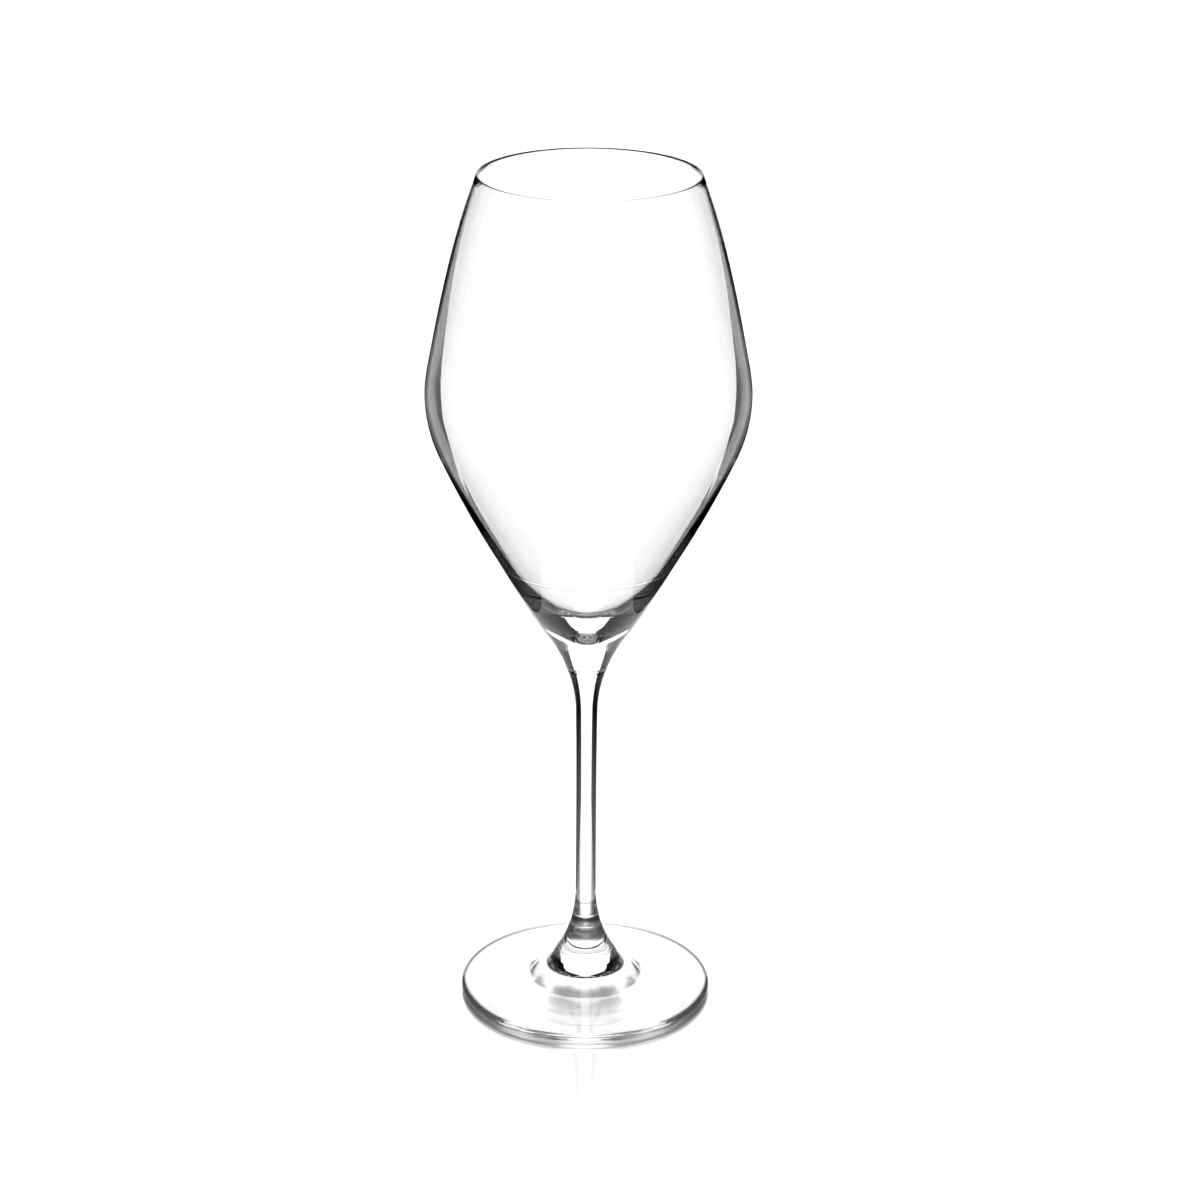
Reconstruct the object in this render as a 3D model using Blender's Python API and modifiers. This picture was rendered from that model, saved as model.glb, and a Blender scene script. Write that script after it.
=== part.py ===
"""Stemmed wine glass: a blown bowl, a drawn stem and a round foot, hot-welded end to end.

Every piece is a profile turned about the Z axis by a Screw modifier. Sizes are in metres and angles in degrees. The
glass stands on Z = 0, and its axis is the Z axis. A wall's lean is its angle from the vertical, positive where it
opens outwards on the way up.
"""

import math

import bmesh
import bpy
from mathutils import Vector

# Whole glass.
HEIGHT = 0.250
WELD_GAP = 0.0003
BOWL_WELD_HEIGHT = 0.1036
FOOT_WELD_HEIGHT = 0.0212

# Bowl, from the lip down to the solid base.
LIP_THICKNESS = 0.0008
LIP_OUTER_RADIUS = 0.0314
LIP_LEAN = -20.5
UPPER_WALL_RADIUS = 0.0448
UPPER_WALL_HEIGHT = 0.1973
UPPER_WALL_LEAN = -10.8
UPPER_WALL_THICKNESS = 0.00095
BELLY_RADIUS = 0.04615
BELLY_HEIGHT = 0.187
BELLY_THICKNESS = 0.0010
CONE_TOP_RADIUS = 0.0426
CONE_TOP_HEIGHT = 0.1702
CONE_TOP_LEAN = 23.8
CONE_TOP_THICKNESS = 0.00115
CONE_RADIUS = 0.0272
CONE_HEIGHT = 0.140
CONE_LEAN = 29.8
BASE_RADIUS = 0.0121
BASE_HEIGHT = 0.115
BASE_LEAN = 35.5
INNER_CONE_RADIUS = 0.0246
INNER_CONE_HEIGHT = 0.1392
INNER_CONE_LEAN = 32.0
INNER_SIDE_RADIUS = 0.0150
INNER_SIDE_HEIGHT = 0.1260
INNER_SIDE_LEAN = 42.0
INNER_CURVE_RADIUS = 0.0080
INNER_CURVE_HEIGHT = 0.1192
INNER_CURVE_LEAN = 52.0
INNER_BOTTOM_HEIGHT = 0.1150

# Stem.
STEM_TOP_RADIUS = 0.0032
STEM_TOP_HEIGHT = 0.0904
STEM_TOP_LEAN = 1.0
STEM_WAIST_RADIUS = 0.0030
STEM_WAIST_HEIGHT = 0.056
STEM_FOOT_RADIUS = 0.00305
STEM_FOOT_HEIGHT = 0.032
STEM_FOOT_LEAN = -0.3

# Foot.
FLARE_RADIUS = 0.0086
FLARE_HEIGHT = 0.013
FLARE_LEAN = -34.3
FLARE_END_RADIUS = 0.0101
FLARE_END_HEIGHT = 0.0102
FLARE_END_LEAN = -36.0
FILLET_RADIUS = 0.0122
FILLET_HEIGHT = 0.0079
FILLET_LEAN = -66.0
DISC_RADIUS = 0.018
DISC_HEIGHT = 0.0062
DISC_LEAN = -80.0
FOOT_RADIUS = 0.0372
FOOT_RIM_THICKNESS = 0.003
RIM_LEAN = -79.5
REST_RING_INNER_RADIUS = 0.0340
UNDERSIDE_EDGE_LEAN = -80.0
UNDERSIDE_RADIUS = 0.0180
UNDERSIDE_HEIGHT = 0.0022
UNDERSIDE_LEAN = -82.0
DOME_EDGE_RADIUS = 0.0160
DOME_EDGE_HEIGHT = 0.0026
DOME_EDGE_LEAN = -60.0
DOME_TOP_HEIGHT = 0.0064

# Fineness of the turned surfaces.
BOWL_STEPS = 64
STEM_STEPS = 40
FOOT_STEPS = 64
POINTS_PER_STRETCH = 6
LIP_POINTS = 6
RIM_POINTS = 8
MERGE_DISTANCE = 0.00001


def station(radius, height, lean):
    """One named place on a profile: a point and the direction in which the wall climbs through it."""
    angle = math.radians(lean)
    return Vector((radius, height)), Vector((math.sin(angle), math.cos(angle)))


def inside_of(place, thickness):
    """The station across the wall from this one, square to the surface."""
    point, climb = place
    outward = Vector((climb.y, -climb.x))
    return point - outward * thickness, climb


def stretch(start, end, count=POINTS_PER_STRETCH):
    """Points on the cubic curve that leaves one station and reaches the next along their own directions."""
    (first, leaving), (last, arriving) = start, end
    reach = (last - first).length / 3
    leave_handle = first + leaving * reach
    arrive_handle = last - arriving * reach
    points = []
    for index in range(count + 1):
        along = index / count
        back = 1 - along
        points.append(
            first * back**3
            + leave_handle * 3 * back**2 * along
            + arrive_handle * 3 * back * along**2
            + last * along**3
        )
    return points


def chain(stations, count=POINTS_PER_STRETCH):
    """One run of points through all of these stations."""
    points = [stations[0][0]]
    for start, end in zip(stations, stations[1:]):
        points += stretch(start, end, count)[1:]
    return points


def arc(centre, radius, first_angle, last_angle, count):
    """Points on an arc, with its angles in degrees from the outward direction."""
    points = []
    for index in range(count + 1):
        angle = math.radians(first_angle + (last_angle - first_angle) * index / count)
        points.append(centre + radius * Vector((math.cos(angle), math.sin(angle))))
    return points


def between(points, low, high):
    """The part of a climbing run of points between two heights, ending exactly on them."""
    kept = []
    for start, end in zip(points, points[1:]):
        if end.y <= low or start.y >= high:
            continue
        span = end.y - start.y
        first = start.lerp(end, max(0.0, (low - start.y) / span))
        last = start.lerp(end, min(1.0, (high - start.y) / span))
        if not kept:
            kept.append(first)
        kept.append(last)
    return kept


def outer_stations():
    """The whole outer surface, from the flare above the foot's disc up to the lip."""
    lip_tilt = math.radians(LIP_LEAN)
    lip_centre = Vector((LIP_OUTER_RADIUS - LIP_THICKNESS / 2, HEIGHT - LIP_THICKNESS / 2))
    lip_outer = lip_centre + Vector((math.cos(lip_tilt), -math.sin(lip_tilt))) * LIP_THICKNESS / 2
    return [
        station(FLARE_RADIUS, FLARE_HEIGHT, FLARE_LEAN),
        station(STEM_FOOT_RADIUS, STEM_FOOT_HEIGHT, STEM_FOOT_LEAN),
        station(STEM_WAIST_RADIUS, STEM_WAIST_HEIGHT, 0),
        station(STEM_TOP_RADIUS, STEM_TOP_HEIGHT, STEM_TOP_LEAN),
        station(BASE_RADIUS, BASE_HEIGHT, BASE_LEAN),
        station(CONE_RADIUS, CONE_HEIGHT, CONE_LEAN),
        station(CONE_TOP_RADIUS, CONE_TOP_HEIGHT, CONE_TOP_LEAN),
        station(BELLY_RADIUS, BELLY_HEIGHT, 0),
        station(UPPER_WALL_RADIUS, UPPER_WALL_HEIGHT, UPPER_WALL_LEAN),
        station(lip_outer.x, lip_outer.y, LIP_LEAN),
    ]


def inner_stations():
    """The bowl's hollow, from its bottom on the axis up to the lip."""
    thicknesses = (
        CONE_TOP_THICKNESS,
        BELLY_THICKNESS,
        UPPER_WALL_THICKNESS,
        LIP_THICKNESS,
    )
    walls = outer_stations()[-len(thicknesses) :]
    base = [
        station(0, INNER_BOTTOM_HEIGHT, 90),
        station(INNER_CURVE_RADIUS, INNER_CURVE_HEIGHT, INNER_CURVE_LEAN),
        station(INNER_SIDE_RADIUS, INNER_SIDE_HEIGHT, INNER_SIDE_LEAN),
        station(INNER_CONE_RADIUS, INNER_CONE_HEIGHT, INNER_CONE_LEAN),
    ]
    return base + [inside_of(wall, thickness) for wall, thickness in zip(walls, thicknesses)]


def bowl_profile():
    """From the hollow's bottom up the inside, over the lip, down the outside and in to the axis at the weld."""
    outer = chain(outer_stations())
    inner = chain(inner_stations())
    lip_centre = (inner[-1] + outer[-1]) / 2
    lip = arc(lip_centre, LIP_THICKNESS / 2, 180 - LIP_LEAN, -LIP_LEAN, LIP_POINTS)
    weld = BOWL_WELD_HEIGHT + WELD_GAP / 2
    wall = between(outer, weld, HEIGHT)
    return inner + lip[1:-1] + wall[::-1] + [Vector((0, weld))]


def stem_profile():
    """From the axis at the top weld, down the outside, and back to the axis at the lower weld."""
    top = BOWL_WELD_HEIGHT - WELD_GAP / 2
    low = FOOT_WELD_HEIGHT + WELD_GAP / 2
    side = between(chain(outer_stations()), low, top)
    return [Vector((0, top))] + side[::-1] + [Vector((0, low))]


def foot_profile():
    """From the axis at the weld, down the flare and disc, round the rim, and in over the domed underside."""
    weld = FOOT_WELD_HEIGHT - WELD_GAP / 2
    flare = between(chain(outer_stations()), FLARE_HEIGHT, weld)
    rim_radius = FOOT_RIM_THICKNESS / 2
    rim_centre = Vector((FOOT_RADIUS - rim_radius, rim_radius))
    rim = arc(rim_centre, rim_radius, -RIM_LEAN, -90, RIM_POINTS)
    disc = chain(
        [
            station(rim[0].x, rim[0].y, RIM_LEAN),
            station(DISC_RADIUS, DISC_HEIGHT, DISC_LEAN),
            station(FILLET_RADIUS, FILLET_HEIGHT, FILLET_LEAN),
            station(FLARE_END_RADIUS, FLARE_END_HEIGHT, FLARE_END_LEAN),
            station(FLARE_RADIUS, FLARE_HEIGHT, FLARE_LEAN),
        ]
    )
    underside = chain(
        [
            station(REST_RING_INNER_RADIUS, 0, UNDERSIDE_EDGE_LEAN),
            station(UNDERSIDE_RADIUS, UNDERSIDE_HEIGHT, UNDERSIDE_LEAN),
            station(DOME_EDGE_RADIUS, DOME_EDGE_HEIGHT, DOME_EDGE_LEAN),
            station(0, DOME_TOP_HEIGHT, -90),
        ]
    )
    top_side = flare[::-1] + disc[::-1][1:]
    return [Vector((0, weld))] + top_side + rim[1:] + underside


def glass_material(name, tint):
    """Clear glass for one piece."""
    material = bpy.data.materials.new(name)
    material.use_nodes = True
    shader = material.node_tree.nodes["Principled BSDF"]
    shader.inputs["Base Color"].default_value = (*tint, 1)
    shader.inputs["Roughness"].default_value = 0.02
    shader.inputs["IOR"].default_value = 1.52
    shader.inputs["Transmission Weight"].default_value = 1
    return material


def turned(name, profile, steps, collection, material):
    """A solid turned from a profile that runs down its outer side."""
    mesh = bpy.data.meshes.new(name)
    shape = bmesh.new()
    corners = [shape.verts.new((point.x, 0, point.y)) for point in profile]
    for start, end in zip(corners, corners[1:]):
        shape.edges.new((start, end))
    shape.to_mesh(mesh)
    shape.free()
    piece = bpy.data.objects.new(name, mesh)
    collection.objects.link(piece)
    screw = piece.modifiers.new("turn", "SCREW")
    screw.axis = "Z"
    screw.angle = math.tau
    screw.steps = steps
    screw.render_steps = steps
    screw.use_merge_vertices = True
    screw.merge_threshold = MERGE_DISTANCE
    screw.use_smooth_shade = True
    mesh.materials.append(material)
    return piece


def clear_scene():
    """Empty the file that Blender starts with."""
    for leftover in list(bpy.data.objects):
        bpy.data.objects.remove(leftover)


def build():
    """Make the three pieces in their own collection."""
    clear_scene()
    glass = bpy.data.collections.new("wine_glass")
    bpy.context.scene.collection.children.link(glass)
    bowl_glass = glass_material("bowl_glass", (0.97, 0.98, 0.98))
    stem_glass = glass_material("stem_glass", (0.96, 0.97, 0.98))
    foot_glass = glass_material("foot_glass", (0.96, 0.98, 0.97))
    turned("bowl", bowl_profile(), BOWL_STEPS, glass, bowl_glass)
    turned("stem", stem_profile(), STEM_STEPS, glass, stem_glass)
    turned("foot", foot_profile(), FOOT_STEPS, glass, foot_glass)


build()
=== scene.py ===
"""A stemmed wine glass of clear crystal: a blown bowl, a drawn stem and a pressed foot, joined by hot welds.

Every piece is an outline turned about the upright axis. Neighbours share the same cut through a weld, and
the faces inside the weld let light straight through, so the three pieces read as one body of glass with a
fine line at each weld. The glass stands on a satin white sheet that mirrors a lit wall, between black cards
that draw its dark edges.
"""

import logging
import math
from dataclasses import dataclass
from enum import Enum
from itertools import pairwise
from typing import Any, Iterable, Mapping, Sequence

import bpy
from mathutils import Matrix, Vector


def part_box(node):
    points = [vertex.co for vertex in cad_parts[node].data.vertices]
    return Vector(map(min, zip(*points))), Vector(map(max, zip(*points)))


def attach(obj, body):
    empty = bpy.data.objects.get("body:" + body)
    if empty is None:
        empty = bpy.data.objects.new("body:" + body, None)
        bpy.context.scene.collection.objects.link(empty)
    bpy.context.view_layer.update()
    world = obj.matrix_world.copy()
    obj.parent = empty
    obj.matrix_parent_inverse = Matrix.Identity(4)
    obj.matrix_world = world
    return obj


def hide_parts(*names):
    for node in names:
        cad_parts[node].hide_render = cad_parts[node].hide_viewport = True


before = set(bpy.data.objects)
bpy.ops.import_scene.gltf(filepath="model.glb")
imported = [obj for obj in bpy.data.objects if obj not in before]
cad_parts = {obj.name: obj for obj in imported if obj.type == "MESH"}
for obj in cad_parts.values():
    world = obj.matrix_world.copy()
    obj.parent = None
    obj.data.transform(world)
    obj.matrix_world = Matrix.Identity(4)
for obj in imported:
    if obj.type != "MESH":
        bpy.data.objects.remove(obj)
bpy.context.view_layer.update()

MM = 0.001
TOUCHING = 1e-6  # metres: nearer than this is the same place
LEVEL = 1e-3  # a face whose normal's height is this near to 1 lies level
log = logging.getLogger("wine_glass")


class Surface(Enum):
    """The kinds of face on a piece of the glass, by material slot."""

    POLISHED = 0
    WELDED = 1


class Side(Enum):
    """Which side of the glass a black card stands on."""

    LEFT = -1
    RIGHT = 1


# ---------------------------------------------------------------- outlines


@dataclass(frozen=True)
class Station:
    """One place on a wall of the glass, in millimetres and degrees.

    Attributes:
        radius: distance out from the axis.
        height: height above the table.
        lean: how far the wall tilts outwards from upright there.
    """

    radius: float
    height: float
    lean: float

    @property
    def place(self) -> Vector:
        """The station as (radius, height) in metres."""
        return Vector((self.radius, self.height)) * MM

    @property
    def run(self) -> Vector:
        """The direction in which the wall climbs."""
        lean = math.radians(self.lean)
        return Vector((math.sin(lean), math.cos(lean)))

    def inner(self, wall: float) -> "Station":
        """Finds the station straight through the wall.

        Args:
            wall: thickness of the glass, in millimetres.

        Returns:
            The station on the inner face, with the same lean.
        """
        run = self.run
        return Station(self.radius - run.y * wall, self.height + run.x * wall, self.lean)


def sweep(stations: Sequence[Station], steps: int) -> list[Vector]:
    """Draws the smooth line that passes each station at its lean.

    Args:
        stations: the stations in order.
        steps: how many short lines to draw between neighbours.

    Returns:
        The points of the line, in metres.
    """
    line = [stations[0].place]
    for first, last in pairwise(stations):
        reach = (last.place - first.place).length / 3
        handles = (first.place, first.place + first.run * reach, last.place - last.run * reach, last.place)
        for step in range(1, steps + 1):
            t = step / steps
            weights = ((1 - t) ** 3, 3 * t * (1 - t) ** 2, 3 * t * t * (1 - t), t**3)
            line.append(sum((h * w for h, w in zip(handles, weights)), Vector((0, 0))))
    return line


def rounded(middle: Vector, radius: float, start: float, end: float, steps: int) -> list[Vector]:
    """Draws part of a circle, as on a fire-polished lip.

    Args:
        middle: centre of the circle.
        radius: its radius, in metres.
        start: angle of the first point, in degrees from straight outwards.
        end: angle of the last point.
        steps: how many short lines to draw.

    Returns:
        The points, in metres.
    """
    angles = (math.radians(start + (end - start) * step / steps) for step in range(steps + 1))
    return [middle + Vector((math.cos(a), math.sin(a))) * radius for a in angles]


def stretch_between(line: Sequence[Vector], low: float, high: float) -> list[Vector]:
    """Cuts a climbing line to the stretch between two heights.

    Args:
        line: the points of the line, lowest first.
        low: height of the lower cut, in metres.
        high: height of the upper cut.

    Returns:
        The points between the cuts, with a new point at each cut.
    """
    kept: list[Vector] = []
    for below, above in pairwise(line):
        if above.y <= low or below.y >= high:
            continue
        rise = above.y - below.y
        if not kept:
            kept.append(below.lerp(above, max(0.0, (low - below.y) / rise)))
        kept.append(below.lerp(above, min(1.0, (high - below.y) / rise)))
    return kept


@dataclass(frozen=True)
class WeldMark:
    """The fine line left where two pieces were joined hot.

    Attributes:
        depth: how far the skin is drawn in, in millimetres.
        width: half width of the line, in millimetres.
        reach: how far from the weld the wall is cut finer, in half widths.
        parts: how many parts each short line is cut into there.
    """

    depth: float = 0.2
    width: float = 0.25
    reach: float = 4.0
    parts: int = 14

    def press(self, line: Sequence[Vector], height: float) -> list[Vector]:
        """Presses the mark into a wall.

        Args:
            line: the wall's points, lowest first.
            height: height of the weld, in metres.

        Returns:
            The wall with more points near the weld, drawn in by the mark.
        """
        reach = self.reach * self.width * MM
        fine: list[Vector] = []
        for below, above in pairwise(line):
            near = above.y > height - reach and below.y < height + reach
            parts = self.parts if near else 1
            fine += [below.lerp(above, part / parts) for part in range(parts)]
        fine.append(line[-1].copy())
        for point in fine:
            away = (point.y - height) / (self.width * MM)
            point.x -= self.depth * MM * math.exp(-away * away)
        return fine


@dataclass(frozen=True)
class OuterWall:
    """The outside of the glass from the flare of the foot up to the lip, which all three pieces share.

    Attributes:
        stations: places on the wall, lowest first.
        mark: the line at each weld.
        steps: short lines between neighbouring stations.
    """

    stations: tuple[Station, ...] = (
        Station(8.6, 13.0, -34.3),
        Station(3.05, 32.0, -0.3),
        Station(3.0, 56.0, 0.0),
        Station(3.2, 90.4, 1.0),
        Station(12.1, 115.0, 35.5),
        Station(27.2, 140.0, 29.8),
        Station(42.6, 170.2, 23.8),
        Station(46.15, 187.0, 0.0),
        Station(44.8, 197.3, -10.8),
    )
    mark: WeldMark = WeldMark()
    steps: int = 24

    def line(self, lip: Station, welds: Iterable[float]) -> list[Vector]:
        """Draws the whole wall.

        Args:
            lip: the station where the wall turns into the rounded lip.
            welds: heights of the welds, in metres.

        Returns:
            The wall's points, lowest first, with the weld marks in it.
        """
        line = sweep((*self.stations, lip), self.steps)
        for height in welds:
            line = self.mark.press(line, height)
        return line


# ---------------------------------------------------------------- modelling


@dataclass(frozen=True)
class Lathe:
    """Turns an outline into a closed piece about the upright axis.

    Attributes:
        facets: how many faces go round a piece.
        weld_merge: points nearer than this become one, in metres.
    """

    facets: int = 192
    weld_merge: float = TOUCHING

    def turn(self, name: str, outline: Sequence[Vector]) -> bpy.types.Object:
        """Draws the outline point by point and spins it.

        Args:
            name: the piece's name.
            outline: points from the axis round to the axis again, in metres.

        Returns:
            The closed piece, smooth and facing outwards.
        """
        deselect_all()
        bpy.ops.mesh.primitive_plane_add(size=MM)
        piece = bpy.context.object
        piece.name = piece.data.name = name
        bpy.ops.object.mode_set(mode="EDIT")
        bpy.ops.mesh.merge(type="CENTER")
        bpy.ops.transform.translate(value=(outline[0].x, 0.0, outline[0].y))
        for here, there in pairwise(outline):
            step = (there.x - here.x, 0.0, there.y - here.y)
            bpy.ops.mesh.extrude_vertices_move(TRANSFORM_OT_translate={"value": step})
        bpy.ops.mesh.select_all(action="SELECT")
        around = {"angle": math.tau, "center": (0, 0, 0), "axis": (0, 0, 1)}
        bpy.ops.mesh.spin(steps=self.facets, use_auto_merge=True, **around)
        bpy.ops.mesh.select_all(action="SELECT")
        bpy.ops.mesh.remove_doubles(threshold=self.weld_merge)
        bpy.ops.mesh.normals_make_consistent(inside=False)
        bpy.ops.object.mode_set(mode="OBJECT")
        bpy.ops.object.shade_smooth()
        return piece


def deselect_all() -> None:
    """Leaves nothing selected, so that an operator acts on new work only."""
    bpy.ops.object.select_all(action="DESELECT")


def sheet_of(name: str, corners: tuple[Vector, Vector], turned: tuple[float, ...]) -> bpy.types.Object:
    """Makes a flat rectangle for the studio.

    Args:
        name: the sheet's name.
        corners: two opposite corners, in metres.
        turned: the turns about X, Y and Z that lay a level square along the sheet, in degrees.

    Returns:
        The sheet, with its place in its mesh.
    """
    deselect_all()
    low, high = corners
    bpy.ops.mesh.primitive_plane_add(size=1, rotation=[math.radians(angle) for angle in turned])
    sheet = bpy.context.object
    sheet.name = sheet.data.name = name
    bpy.ops.object.transform_apply(location=False, rotation=True, scale=False)
    bpy.ops.object.mode_set(mode="EDIT")
    bpy.ops.transform.resize(value=[max(span, MM) for span in high - low])
    bpy.ops.transform.translate(value=(low + high) / 2)
    bpy.ops.object.mode_set(mode="OBJECT")
    return sheet


# ---------------------------------------------------------------- finishes


class Value:
    """A shader value that can be used in sums: each operator adds the node that works it out."""

    def __init__(self, recipe: "Recipe", socket: bpy.types.NodeSocket) -> None:
        """Keeps the socket and the recipe that it belongs to."""
        self.recipe = recipe
        self.socket = socket

    def _math(self, operation: str, first: "Value | float", second: "Value | float" = 0.0) -> "Value":
        """Adds one Math node.

        Args:
            operation: what the node works out.
            first: its first number.
            second: its second number.

        Returns:
            The result.
        """
        return self.recipe.node("ShaderNodeMath", {"operation": operation}, {0: first, 1: second})

    def __add__(self, other: "Value | float") -> "Value":
        """Adds two values."""
        return self._math("ADD", self, other)

    __radd__ = __add__

    def __sub__(self, other: "Value | float") -> "Value":
        """Takes the other value away."""
        return self._math("SUBTRACT", self, other)

    def __rsub__(self, other: float) -> "Value":
        """Takes this value from a number."""
        return self._math("SUBTRACT", other, self)

    def __mul__(self, other: "Value | float") -> "Value":
        """Multiplies two values."""
        return self._math("MULTIPLY", self, other)

    __rmul__ = __mul__

    def __truediv__(self, other: "Value | float") -> "Value":
        """Divides by the other value."""
        return self._math("DIVIDE", self, other)

    def bell(self) -> "Value":
        """Gives 1 where this value is 0, falling smoothly to 0 on both sides."""
        return self._math("EXPONENT", self * self * -1.0)

    def rise(self, start: float, end: float) -> "Value":
        """Gives a smooth step.

        Args:
            start: where this value gives 0.
            end: where it gives 1.

        Returns:
            The step, from 0 to 1.
        """
        return self.recipe.node(
            "ShaderNodeMapRange", {"interpolation_type": "SMOOTHSTEP"}, {"Value": self, 1: start, 2: end}
        )


class Recipe:
    """The node tree of one material, written node by node."""

    def __init__(self, name: str) -> None:
        """Starts an empty material.

        Args:
            name: the material's name.
        """
        self.material = bpy.data.materials.new(name)
        self.material.use_nodes = True
        self.material.node_tree.nodes.clear()

    def node(
        self,
        kind: str,
        settings: Mapping[str, Any] | None = None,
        inputs: Mapping[int | str, Any] | None = None,
        output: int | str = 0,
    ) -> Value:
        """Adds any node.

        Args:
            kind: the node's type.
            settings: its settings, such as what a Math node works out.
            inputs: values or links, by socket name or number.
            output: which output to hand back.

        Returns:
            That output.
        """
        node = self.material.node_tree.nodes.new(kind)
        for key, setting in (settings or {}).items():
            setattr(node, key, setting)
        for key, value in (inputs or {}).items():
            if isinstance(value, Value):
                self.material.node_tree.links.new(value.socket, node.inputs[key])
            else:
                node.inputs[key].default_value = value
        return Value(self, node.outputs[output]) if len(node.outputs) else Value(self, node.inputs[0])

    def place(self) -> tuple[Value, Value, Value]:
        """Reads where on the piece a point is.

        Returns:
            The point itself, how far back it is and how high it is, in metres.
        """
        point = self.node("ShaderNodeTexCoord", output="Object")
        back = self.node("ShaderNodeSeparateXYZ", inputs={0: point}, output="Y")
        height = self.node("ShaderNodeSeparateXYZ", inputs={0: point}, output="Z")
        return point, back, height

    def noise(self, point: Value, size: float, detail: float = 1.0, shift: float = 0.0) -> Value:
        """Adds soft random cloud.

        Args:
            point: where to read it.
            size: width of one cloud, in metres.
            detail: how many finer layers it has.
            shift: moves the pattern, so that two don't match.

        Returns:
            A value about 0.5.
        """
        moved = self.node("ShaderNodeVectorMath", {"operation": "ADD"}, {0: point, 1: (shift, shift, shift)})
        return self.node("ShaderNodeTexNoise", {}, {"Vector": moved, "Scale": 1 / size, "Detail": detail})

    def blend(self, mask: Value, first: Sequence[float], second: Sequence[float]) -> Value:
        """Mixes two colours.

        Args:
            mask: 0 for the first colour, 1 for the second.
            first: a colour.
            second: another colour.

        Returns:
            The mixed colour.
        """
        return self.node(
            "ShaderNodeMix", {"data_type": "RGBA"}, {0: mask, 6: (*first, 1.0), 7: (*second, 1.0)}, output=2
        )

    def shade(self, colour: Value, mask: Value, tint: Sequence[float]) -> Value:
        """Darkens a colour by a tint.

        Args:
            colour: the colour.
            mask: 0 where it stays as it is, 1 where it takes the whole tint.
            tint: what it is multiplied by.

        Returns:
            The darker colour.
        """
        settings = {"data_type": "RGBA", "blend_type": "MULTIPLY"}
        return self.node("ShaderNodeMix", settings, {0: mask, 6: colour, 7: (*tint, 1.0)}, output=2)

    def finish(self, shader: Value) -> bpy.types.Material:
        """Ends the material with a shader.

        Args:
            shader: what the surface is.

        Returns:
            The finished material.
        """
        self.node("ShaderNodeOutputMaterial", {}, {"Surface": shader})
        return self.material


@dataclass(frozen=True)
class Seeds:
    """Tiny bubbles scattered in the thick glass under the bowl.

    Attributes:
        heights: where they start and end, in metres.
        fades: how far they thin out above the start and below the end, in metres.
        density: how many fit side by side in a metre.
        patch: width of one cluster of them, in metres.
        lift: how far each one lifts the skin, in metres.
    """

    heights: tuple[float, float] = (0.118, 0.136)
    fades: tuple[float, float] = (0.002, 0.004)
    density: float = 330.0
    patch: float = 0.008
    lift: float = 1e-5

    def bumps(self, recipe: "Recipe", point: Value, height: Value) -> Value:
        """Works out how far the seeds lift the skin.

        Args:
            recipe: the material that they are in.
            point: where to read them.
            height: the height there.

        Returns:
            The lift, in metres.
        """
        (low, high), (low_fade, high_fade) = self.heights, self.fades
        inputs = {"Vector": point, "Scale": self.density}
        away = recipe.node("ShaderNodeTexVoronoi", {}, inputs, "Distance")
        zone = height.rise(low, low + low_fade) * (1.0 - height.rise(high - high_fade, high))
        clusters = recipe.noise(point, self.patch, shift=12.0).rise(0.5, 0.6)
        return (1.0 - away.rise(0.04, 0.14)) * (zone * clusters) * self.lift


@dataclass(frozen=True)
class PaintedGlintLine:
    """The fine broken line round the front of the bowl: a painted glint of glowing grains, with painted shade
    as a dark edge under them.

    Attributes:
        height: its middle, in metres.
        drift: how far it wanders up and down in all, in metres.
        painted_glint_width: half width of the painted glint, in metres.
        painted_shade_width: half width of the painted shade under it, in metres.
        painted_shade_drop: how far the painted shade lies under the glint, in metres.
        grain: width of one grain, in metres.
        front: between which places behind the axis it fades, in metres.
        bright: colour of the painted glint.
        dark: tint of the painted shade.
        strength: how strongly the painted glint glows.
    """

    height: float = 0.1375
    drift: float = 0.0016
    painted_glint_width: float = 0.00016
    painted_shade_width: float = 0.0002
    painted_shade_drop: float = 0.0004
    grain: float = 0.0007
    front: tuple[float, float] = (-0.022, -0.01)
    bright: tuple[float, float, float] = (1.0, 0.99, 0.96)
    dark: tuple[float, float, float] = (0.5, 0.5, 0.48)
    strength: float = 0.8

    def strokes(self, recipe: "Recipe", point: Value, back: Value, height: Value) -> tuple[Value, Value]:
        """Works out where the painted glint and the painted shade under it lie.

        Args:
            recipe: the material that it is in.
            point: where to read it.
            back: how far back that is.
            height: the height there.

        Returns:
            The strength of the painted glint and of the painted shade, each from 0 to 1.
        """
        drift = (recipe.noise(point, 0.012, 2.0, 6.0) - 0.5) * self.drift
        above = height - self.height - drift
        grains = recipe.noise(point, self.grain, 2.0, 3.0).rise(0.48, 0.66)
        shown = 1.0 - back.rise(*self.front)
        # Painted glint: glowing grains, on the front of the bowl only.
        bright = (above / self.painted_glint_width).bell() * shown * (grains * 0.85 + 0.1)
        # Painted shade: a dark edge just under the glint.
        dark = ((above + self.painted_shade_drop) / self.painted_shade_width).bell() * shown * (grains * 0.7 + 0.3)
        return bright, dark


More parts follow.
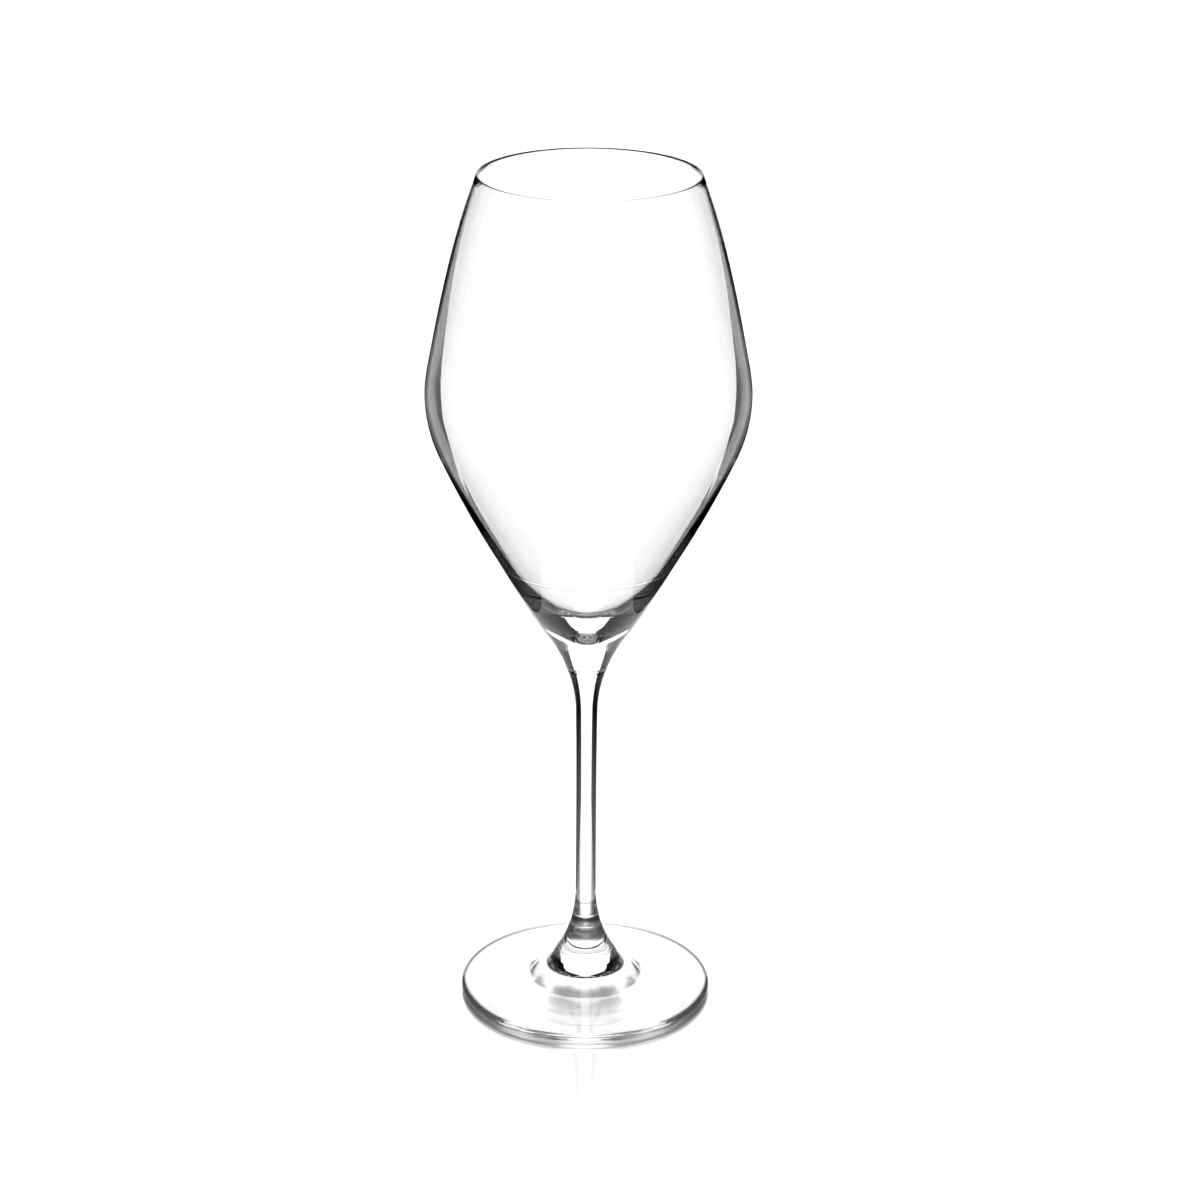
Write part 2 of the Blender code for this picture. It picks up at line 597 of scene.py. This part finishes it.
@dataclass(frozen=True)
class CrystalFinish:
    """Clear lead-free crystal, fire polished, with the marks of being made and handled, and where set,
    painted shade in the lower bowl and a painted glint line.

    Attributes:
        name: the material's name.
        bend: index of refraction.
        clear: tint of clean glass.
        cool: faint tint in thicker drawn streaks.
        streak: width of one streak, in metres.
        smear: roughness in the handling smears; clean glass has none.
        smear_size: width of one smear, in metres.
        wave: height of the slow waves in the skin, in metres.
        wave_size: width of one wave, in metres.
        painted_shade_tint: painted shade, a darker tint towards the bottom of the bowl, where the wall
            gathers into solid glass.
        painted_shade_heights: heights between which that painted shade fades upwards, in metres, or None.
        seeds: the seeds in the thick glass, or None.
        line: the fine broken line round the front of the bowl, a painted glint with painted shade under it,
            or None.
        worn_below: height below which the resting ring is scuffed, in metres, or None.
        scuff: further roughness in the scuffs.
        scuff_size: width of one scuff, in metres.
    """

    name: str
    bend: float = 1.52
    clear: tuple[float, float, float] = (1.0, 1.0, 1.0)
    cool: tuple[float, float, float] = (0.994, 0.998, 0.999)
    streak: float = 0.018
    smear: float = 0.012
    smear_size: float = 0.02
    wave: float = 4e-6
    wave_size: float = 0.011
    # Painted shade: the tint that darkens the glass towards the bottom of the bowl.
    painted_shade_tint: tuple[float, float, float] = (0.925, 0.93, 0.94)
    painted_shade_heights: tuple[float, float] | None = None
    seeds: Seeds | None = None
    line: PaintedGlintLine | None = None
    worn_below: float | None = None
    scuff: float = 0.12
    scuff_size: float = 0.0006

    def material(self) -> bpy.types.Material:
        """Writes the glass.

        Returns:
            The material.
        """
        recipe = Recipe(self.name)
        point, back, height = recipe.place()
        streaks = recipe.noise(point, self.streak, 2.0).rise(0.35, 0.7)
        tint = recipe.blend(streaks, self.clear, self.cool)
        roughness = recipe.noise(point, self.smear_size, 3.0, 4.0).rise(0.52, 0.7) * self.smear
        skin = recipe.noise(point, self.wave_size, 0.5, 9.0) * self.wave
        inputs: dict[int | str, Any] = {"IOR": self.bend, "Transmission Weight": 1.0}
        # Painted shade: the glass is tinted darker below the given heights, towards the bottom of the bowl.
        if self.painted_shade_heights:
            tint = recipe.shade(tint, 1.0 - height.rise(*self.painted_shade_heights), self.painted_shade_tint)
        if self.seeds:
            skin = skin + self.seeds.bumps(recipe, point, height)
        if self.worn_below:
            scuffs = recipe.noise(point, self.scuff_size, 2.0, 2.0).rise(0.4, 0.7)
            roughness = roughness + (1.0 - height.rise(0.0, self.worn_below)) * scuffs * self.scuff
        # Painted shade darkens the glass under the line, and the painted glint glows through the emission.
        if self.line:
            bright, dark = self.line.strokes(recipe, point, back, height)
            tint = recipe.shade(tint, dark, self.line.dark)
            inputs["Emission Color"] = recipe.blend(bright, (0.0, 0.0, 0.0), self.line.bright)
            inputs["Emission Strength"] = self.line.strength
        bump = {"Strength": 1.0, "Distance": 1.0, "Height": skin}
        inputs["Base Color"] = tint
        inputs["Roughness"] = roughness
        inputs["Normal"] = recipe.node("ShaderNodeBump", {}, bump, "Normal")
        return recipe.finish(recipe.node("ShaderNodeBsdfPrincipled", {}, inputs))


@dataclass(frozen=True)
class WeldFinish:
    """The inside of a hot weld, where two pieces have run together and nothing shows."""

    name: str = "inside of weld"

    def material(self) -> bpy.types.Material:
        """Writes a face that light crosses unchanged."""
        recipe = Recipe(self.name)
        return recipe.finish(recipe.node("ShaderNodeBsdfTransparent"))


@dataclass(frozen=True)
class LitFinish:
    """A wall or ceiling that glows evenly, such as lit acrylic.

    Attributes:
        name: the material's name.
        glow: how bright it is.
    """

    name: str
    glow: float

    def material(self) -> bpy.types.Material:
        """Writes the even glow."""
        recipe = Recipe(self.name)
        return recipe.finish(recipe.node("ShaderNodeEmission", {}, {"Strength": self.glow}))


@dataclass(frozen=True)
class CardFinish:
    """Black card with painted light: it glows a little near its front edge, beside the upper bowl, and by the
    floor.

    Attributes:
        name: the material's name.
        painted_light_upper: how strongly the painted light glows on the upper part.
        heights: where that painted light starts and where it is full, in metres.
        depths: where it starts to fade and where it is gone, in metres behind the glass.
        painted_light_low: how strongly the painted light glows where the card meets the floor.
        low_heights: where that painted light starts to fade upwards and where it is gone, in metres.
    """

    name: str
    painted_light_upper: float = 0.3
    heights: tuple[float, float] = (0.12, 0.19)
    depths: tuple[float, float] = (0.0, 0.035)
    painted_light_low: float = 0.12
    low_heights: tuple[float, float] = (0.005, 0.06)

    def material(self) -> bpy.types.Material:
        """Writes the black and the two soft patches of painted light."""
        recipe = Recipe(self.name)
        _, back, height = recipe.place()
        # Painted light: two soft glowing patches on the black card, one by its front edge beside the upper
        # bowl and one by the floor.
        upper = height.rise(*self.heights) * (1.0 - back.rise(*self.depths))
        lower = 1.0 - height.rise(*self.low_heights)
        bright = upper * self.painted_light_upper + lower * self.painted_light_low
        return recipe.finish(recipe.node("ShaderNodeEmission", {}, {"Strength": bright}))


@dataclass(frozen=True)
class FloorFinish:
    """A satin white sheet under a clear polished coat, which throws back the lit wall.

    Attributes:
        name: the material's name.
        white: how much light it throws back.
        satin: roughness of the sheet.
        uneven: how much that roughness varies.
        uneven_size: width of one uneven patch, in metres.
        coat: roughness of the clear coat.
        coat_bend: index of refraction of the coat.
    """

    name: str = "satin white sheet"
    white: float = 0.95
    satin: float = 0.35
    uneven: float = 0.04
    uneven_size: float = 0.05
    coat: float = 0.06
    coat_bend: float = 2.0

    def material(self) -> bpy.types.Material:
        """Writes the sheet, with the faint unevenness of its polish."""
        recipe = Recipe(self.name)
        point = recipe.place()[0]
        patches = recipe.noise(point, self.uneven_size, 2.0)
        inputs = {
            "Base Color": (self.white, self.white, self.white, 1.0),
            "Metallic": 1.0,
            "Roughness": patches * self.uneven + (self.satin - self.uneven / 2),
            "Coat Weight": 1.0,
            "Coat Roughness": self.coat,
            "Coat IOR": self.coat_bend,
        }
        return recipe.finish(recipe.node("ShaderNodeBsdfPrincipled", {}, inputs))


# ---------------------------------------------------------------- the glass


@dataclass
class GlassPiece:
    """One piece of the glass, turned and dressed.

    Attributes:
        node: the plain solid that it stands for.
        finish: its glass.
        wall: the outside of the whole glass.
        lathe: what turns it.
    """

    node: str
    finish: CrystalFinish
    wall: list[Vector]
    lathe: Lathe = Lathe()

    def outline(self) -> list[Vector]:
        """Draws the piece's outline, from the axis round to the axis."""
        raise NotImplementedError

    def build(self, welds: Sequence[float]) -> bpy.types.Object:
        """Makes and dresses the piece.

        Args:
            welds: heights of the welds, in metres.

        Returns:
            The finished piece.
        """
        piece = self.lathe.turn(f"crystal_{self.node}", self.outline())
        self.dress(piece, welds)
        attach(piece, "root")
        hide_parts(self.node)
        return piece

    def dress(self, piece: bpy.types.Object, welds: Sequence[float]) -> None:
        """Gives the skin its glass, and the faces inside a weld their clear face.

        Args:
            piece: the piece.
            welds: heights of the welds, in metres.
        """
        piece.data.materials.append(self.finish.material())
        piece.data.materials.append(WeldFinish(f"inside of {self.node} weld").material())
        for face in piece.data.polygons:
            level = 1.0 - abs(face.normal.z) < LEVEL
            if level and any(abs(face.center.z - height) < TOUCHING for height in welds):
                face.material_index = Surface.WELDED.value
                face.use_smooth = False


@dataclass
class Bowl(GlassPiece):
    """The blown bowl: thin at the lip and belly, thick where it gathers into the stem.

    Attributes:
        weld: height of its weld, in metres.
        top: height of its lip, in metres.
        lip_radius: radius of the lip, in millimetres.
        lip_thickness: thickness at the lip, in millimetres.
        lip_lean: how far the wall leans at the lip, in degrees.
        hollow: places on the inside from the bottom up to the cone.
        walls: wall thickness at the top of the cone, the belly and the wall above it, in millimetres.
        steps: short lines between neighbouring stations.
        lip_steps: short lines round the lip.
    """

    weld: float = 0.0
    top: float = 0.0
    lip_radius: float = 31.4
    lip_thickness: float = 0.8
    lip_lean: float = -20.5
    hollow: tuple[Station, ...] = (
        Station(0.0, 115.0, 90.0),
        Station(8.0, 119.2, 52.0),
        Station(15.0, 126.0, 42.0),
        Station(24.6, 139.2, 32.0),
    )
    walls: tuple[float, ...] = (1.15, 1.0, 0.95)
    steps: int = 24
    lip_steps: int = 10

    def outline(self) -> list[Vector]:
        """Draws the inside from the bottom up, the lip, the outside down to the weld, and the weld."""
        outer = OuterWall().stations[-3:]
        climb = [station.inner(wall) for station, wall in zip(outer, self.walls)]
        lip = self.lip_station().inner(self.lip_thickness)
        inside = sweep((*self.hollow, *climb, lip), self.steps)
        middle = (inside[-1] + self.wall[-1]) / 2
        radius = self.lip_thickness / 2 * MM
        edge = rounded(middle, radius, 180 - self.lip_lean, -self.lip_lean, self.lip_steps)
        outside = stretch_between(self.wall, self.weld, self.top)
        return [*inside, *edge[1:-1], *reversed(outside), Vector((0.0, self.weld))]

    @classmethod
    def lip_station(cls) -> Station:
        """Finds where the outside turns into the lip.

        Returns:
            The station on the outside of the lip.
        """
        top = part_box("bowl")[1][2] / MM
        half = cls.lip_thickness / 2
        lean = math.radians(cls.lip_lean)
        middle = cls.lip_radius - half
        return Station(middle + math.cos(lean) * half, top - half - math.sin(lean) * half, cls.lip_lean)


@dataclass
class Stem(GlassPiece):
    """The drawn stem, waisted between its two welds.

    Attributes:
        low: height of the lower weld, in metres.
        high: height of the upper weld, in metres.
    """

    low: float = 0.0
    high: float = 0.0

    def outline(self) -> list[Vector]:
        """Draws the upper weld, the outside downwards and the lower weld."""
        outside = stretch_between(self.wall, self.low, self.high)
        return [Vector((0.0, self.high)), *reversed(outside), Vector((0.0, self.low))]


@dataclass
class Foot(GlassPiece):
    """The pressed foot: a flare, a broad disc, a rounded rim and a shallow hollow under it.

    Attributes:
        weld: height of its weld, in metres.
        radius: radius of the rim, in millimetres.
        rim_thickness: thickness at the rim, in millimetres.
        rim_lean: lean of the upper face where it meets the rim, in degrees.
        disc: places on the upper face from the disc up to the end of the flare.
        underside: places under the foot, from the inside of the ring that it rests on to the top of the dome.
        steps: short lines between neighbouring stations.
        rim_steps: short lines round the rim.
    """

    weld: float = 0.0
    radius: float = 37.2
    rim_thickness: float = 3.0
    rim_lean: float = -79.5
    disc: tuple[Station, ...] = (
        Station(18.0, 6.2, -80.0),
        Station(12.2, 7.9, -66.0),
        Station(10.1, 10.2, -36.0),
    )
    underside: tuple[Station, ...] = (
        Station(34.0, 0.0, -80.0),
        Station(18.0, 2.2, -82.0),
        Station(16.0, 2.6, -60.0),
        Station(0.0, 6.4, -90.0),
    )
    steps: int = 24
    rim_steps: int = 16

    def outline(self) -> list[Vector]:
        """Draws the weld, the flare and the disc outwards, the rim, and the underside inwards."""
        half = self.rim_thickness / 2 * MM
        middle = Vector((self.radius * MM - half, half))
        rim = rounded(middle, half, -self.rim_lean, -90.0, self.rim_steps)
        flare_start = OuterWall().stations[0]
        rim_start = Station(rim[0].x / MM, rim[0].y / MM, self.rim_lean)
        face = sweep((rim_start, *self.disc, flare_start), self.steps)
        flare = stretch_between(self.wall, flare_start.height * MM, self.weld)
        under = sweep(self.underside, self.steps)
        return [Vector((0.0, self.weld)), *reversed(flare), *reversed(face[:-1]), *rim[1:], *under]


@dataclass
class WineGlass:
    """The whole glass, with its welds where its plain solids meet."""

    def build(self) -> list[bpy.types.Object]:
        """Makes the three pieces and reports each.

        Returns:
            The bowl, the stem and the foot.
        """
        high = (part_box("bowl")[0][2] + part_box("stem")[1][2]) / 2
        low = (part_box("stem")[0][2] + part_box("foot")[1][2]) / 2
        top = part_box("bowl")[1][2]
        radius = (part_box("foot")[1][0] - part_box("foot")[0][0]) / 2 / MM
        welds = (low, high)
        wall = OuterWall().line(Bowl.lip_station(), welds)
        # The bowl's glass carries painted shade towards its bottom and a painted glint line with painted
        # shade under it.
        bowl_glass = CrystalFinish("bowl crystal", painted_shade_heights=(0.112, 0.17), seeds=Seeds(), line=PaintedGlintLine())
        stem_glass = CrystalFinish("stem crystal", wave=2e-6, smear=0.006)
        foot_glass = CrystalFinish("foot crystal", worn_below=0.0003)
        pieces = [
            Bowl("bowl", bowl_glass, wall, weld=high, top=top),
            Stem("stem", stem_glass, wall, low=low, high=high),
            Foot("foot", foot_glass, wall, weld=low, radius=radius),
        ]
        made = []
        for piece in pieces:
            glass = piece.build(welds)
            size = [round(side / MM, 2) for side in glass.dimensions]
            log.info("%s: %d faces, %s mm", glass.name, len(glass.data.polygons), size)
            made.append(glass)
        return made


# ---------------------------------------------------------------- the studio


@dataclass(frozen=True)
class Viewpoint:
    """Where the camera stands.

    Attributes:
        back: how far it stands from the glass, in metres.
        height: how high it is, in metres.
        tilt: how far it looks down, in degrees.
        roll: how far it is turned about its line of sight, in degrees.
        lens: focal length, in millimetres on a 36 mm sensor.
        shift: sideways and upward shift of the lens, as shares of the sensor.
    """

    back: float = 0.8716
    height: float = 0.46235
    tilt: float = 21.0026
    roll: float = 0.33
    lens: float = 99.02
    shift: tuple[float, float] = (0.0018, 0.0)

    def build(self) -> bpy.types.Object:
        """Stands the camera in its place.

        Returns:
            The camera.
        """
        deselect_all()
        bpy.ops.object.camera_add()
        camera = bpy.context.object
        camera.name = "camera"
        camera.data.sensor_width = 36.0
        camera.data.lens = self.lens
        camera.data.shift_x, camera.data.shift_y = self.shift
        camera.matrix_world = (
            Matrix.Translation((0.0, -self.back, self.height))
            @ Matrix.Rotation(math.radians(90.0 - self.tilt), 4, "X")
            @ Matrix.Rotation(math.radians(self.roll), 4, "Z")
        )
        bpy.context.scene.camera = camera
        return camera


@dataclass(frozen=True)
class CardPart:
    """One stretch of the black card beside the glass.

    Attributes:
        bottom: where it starts, in metres.
        top: where it ends.
        far: how far it reaches behind the glass, in metres.
        mirrored: whether the glass mirrors it as well as bending it.
    """

    bottom: float
    top: float
    far: float
    mirrored: bool


@dataclass(frozen=True)
class Studio:
    """A white sheet, a lit wall and ceiling, black cards beside the glass, and a soft light over it.

    Attributes:
        floor_half: half the width of the floor, in metres.
        floor_gap: how far the floor lies below the foot, in metres.
        wall_back: how far behind the glass the lit wall stands, in metres.
        wall_half: half its width, in metres.
        wall_height: its height, in metres.
        wall_glow: its brightness.
        ceiling_height: how high the pale ceiling hangs, in metres.
        ceiling_reach: how far it reaches sideways, and in front of and behind the glass, in metres.
        ceiling_glow: its brightness.
        card_gap: how far beside the axis each card stands, in metres.
        card_near: where a card begins, in front of the glass, in metres.
        card_parts: its stretches, lowest first.
        light_place: where the soft light hangs, in metres.
        light_aim: the height on the axis that it faces, in metres.
        light_size: its width and its depth, in metres.
        light_power: its power, in watts.
        room_glow: brightness of the rest of the room.
        glass_bounces: how many times light may bend or bounce in the glass.
        weld_crossings: how many clear faces it may cross.
        floor_bounces: how many times it may bounce off matt faces.
    """

    floor_half: float = 6.0
    floor_gap: float = 1e-4
    wall_back: float = 3.5
    wall_half: float = 1.8
    wall_height: float = 6.0
    wall_glow: float = 1.42
    ceiling_height: float = 1.6
    ceiling_reach: tuple[float, float, float] = (1.5, 0.6, 1.5)
    ceiling_glow: float = 0.8
    card_gap: float = 0.052
    card_near: float = -0.03
    card_parts: tuple[CardPart, ...] = (
        CardPart(0.0, 0.065, 0.125, False),
        CardPart(0.065, 0.11, 0.125, True),
        CardPart(0.11, 0.6, 0.09, True),
    )
    light_place: tuple[float, float, float] = (0.0, 0.5, 0.9)
    light_aim: float = 0.25
    light_size: tuple[float, float] = (1.6, 0.8)
    light_power: float = 2.0
    room_glow: float = 0.02
    glass_bounces: int = 48
    weld_crossings: int = 64
    floor_bounces: int = 3

    def build(self, camera: bpy.types.Object) -> None:
        """Sets up the studio.

        Args:
            camera: the camera that the wall and the cards face.
        """
        self.lay_floor()
        axis = self.turning_stand(camera)
        self.hang_wall(axis)
        self.hang_ceiling(axis)
        for side in Side:
            self.stand_card(axis, side)
        self.hang_light(axis)
        self.darken_room()
        self.tune_light_paths()

    def lay_floor(self) -> None:
        """Lays the white sheet a hair below the foot."""
        half, low = self.floor_half, -self.floor_gap
        floor = sheet_of("floor", (Vector((-half, -half, low)), Vector((half, half, low))), (0, 0, 0))
        floor.data.materials.append(FloorFinish().material())

    def turning_stand(self, camera: bpy.types.Object) -> bpy.types.Object:
        """Makes a stand on the axis that keeps its front towards the camera.

        Args:
            camera: what it turns to.

        Returns:
            The stand.
        """
        bpy.ops.object.empty_add(type="PLAIN_AXES")
        stand = bpy.context.object
        stand.name = "turning_stand"
        turn = stand.constraints.new("LOCKED_TRACK")
        turn.target = camera
        turn.track_axis = "TRACK_NEGATIVE_Y"
        turn.lock_axis = "LOCK_Z"
        return stand

    def hang_wall(self, stand: bpy.types.Object) -> None:
        """Hangs the lit wall behind the glass.

        Args:
            stand: what it turns with.
        """
        half, back = self.wall_half, self.wall_back
        corners = (Vector((-half, back, 0)), Vector((half, back, self.wall_height)))
        wall = sheet_of("lit_wall", corners, (90, 0, 0))
        wall.data.materials.append(LitFinish("lit wall", self.wall_glow).material())
        wall.visible_shadow = False
        wall.parent = stand

    def hang_ceiling(self, stand: bpy.types.Object) -> None:
        """Hangs the pale ceiling over the glass.

        Args:
            stand: what it turns with.
        """
        side, front, back = self.ceiling_reach
        corners = (Vector((-side, -front, self.ceiling_height)), Vector((side, back, self.ceiling_height)))
        ceiling = sheet_of("pale_ceiling", corners, (0, 0, 0))
        ceiling.data.materials.append(LitFinish("pale ceiling", self.ceiling_glow).material())
        ceiling.visible_camera = False
        ceiling.visible_shadow = False
        ceiling.parent = stand

    def stand_card(self, stand: bpy.types.Object, side: Side) -> None:
        """Stands a black card beside the glass, out of the camera's sight.

        Args:
            stand: what it turns with.
            side: which side it stands on.
        """
        x = self.card_gap * side.value
        for number, part in enumerate(self.card_parts, 1):
            name = f"black_card_{side.name.lower()}_{number}"
            corners = (Vector((x, self.card_near, part.bottom)), Vector((x, part.far, part.top)))
            card = sheet_of(name, corners, (0, 90, 0))
            # The card's finish paints soft patches of light on it.
            card.data.materials.append(CardFinish(name.replace("_", " ")).material())
            card.visible_camera = False
            card.visible_shadow = False
            card.visible_diffuse = False
            card.visible_glossy = part.mirrored
            card.parent = stand

    def hang_light(self, stand: bpy.types.Object) -> None:
        """Hangs the wide soft light behind and over the glass.

        Args:
            stand: what it turns with.
        """
        deselect_all()
        bpy.ops.object.light_add(type="AREA", location=self.light_place)
        light = bpy.context.object
        light.name = "soft_light"
        light.data.shape = "RECTANGLE"
        light.data.size, light.data.size_y = self.light_size
        light.data.energy = self.light_power
        aim = Vector((0.0, 0.0, self.light_aim)) - Vector(self.light_place)
        light.rotation_euler = aim.to_track_quat("-Z", "Y").to_euler()
        light.parent = stand

    def darken_room(self) -> None:
        """Leaves only a trace of light in the rest of the room."""
        world = bpy.data.worlds.new("dim room")
        world.use_nodes = True
        backdrop = world.node_tree.nodes["Background"]
        backdrop.inputs["Color"].default_value = (1.0, 1.0, 1.0, 1.0)
        backdrop.inputs["Strength"].default_value = self.room_glow
        bpy.context.scene.world = world

    def tune_light_paths(self) -> None:
        """Lets light pass through many faces of glass, and keeps whites plain."""
        scene = bpy.context.scene
        scene.view_settings.view_transform = "Standard"
        cycles = scene.cycles
        cycles.max_bounces = cycles.transmission_bounces = cycles.glossy_bounces = self.glass_bounces
        cycles.transparent_max_bounces = self.weld_crossings
        cycles.diffuse_bounces = self.floor_bounces
        cycles.blur_glossy = 0.0
        cycles.caustics_refractive = cycles.caustics_reflective = True
        cycles.use_denoising = True


def main() -> None:
    """Builds the glass and its studio, and notes the faces and size of each piece of the glass."""
    logging.basicConfig(level=logging.INFO, format="%(name)s: %(message)s")
    WineGlass().build()
    camera = Viewpoint().build()
    Studio().build(camera)


if __name__ == "__main__":
    main()
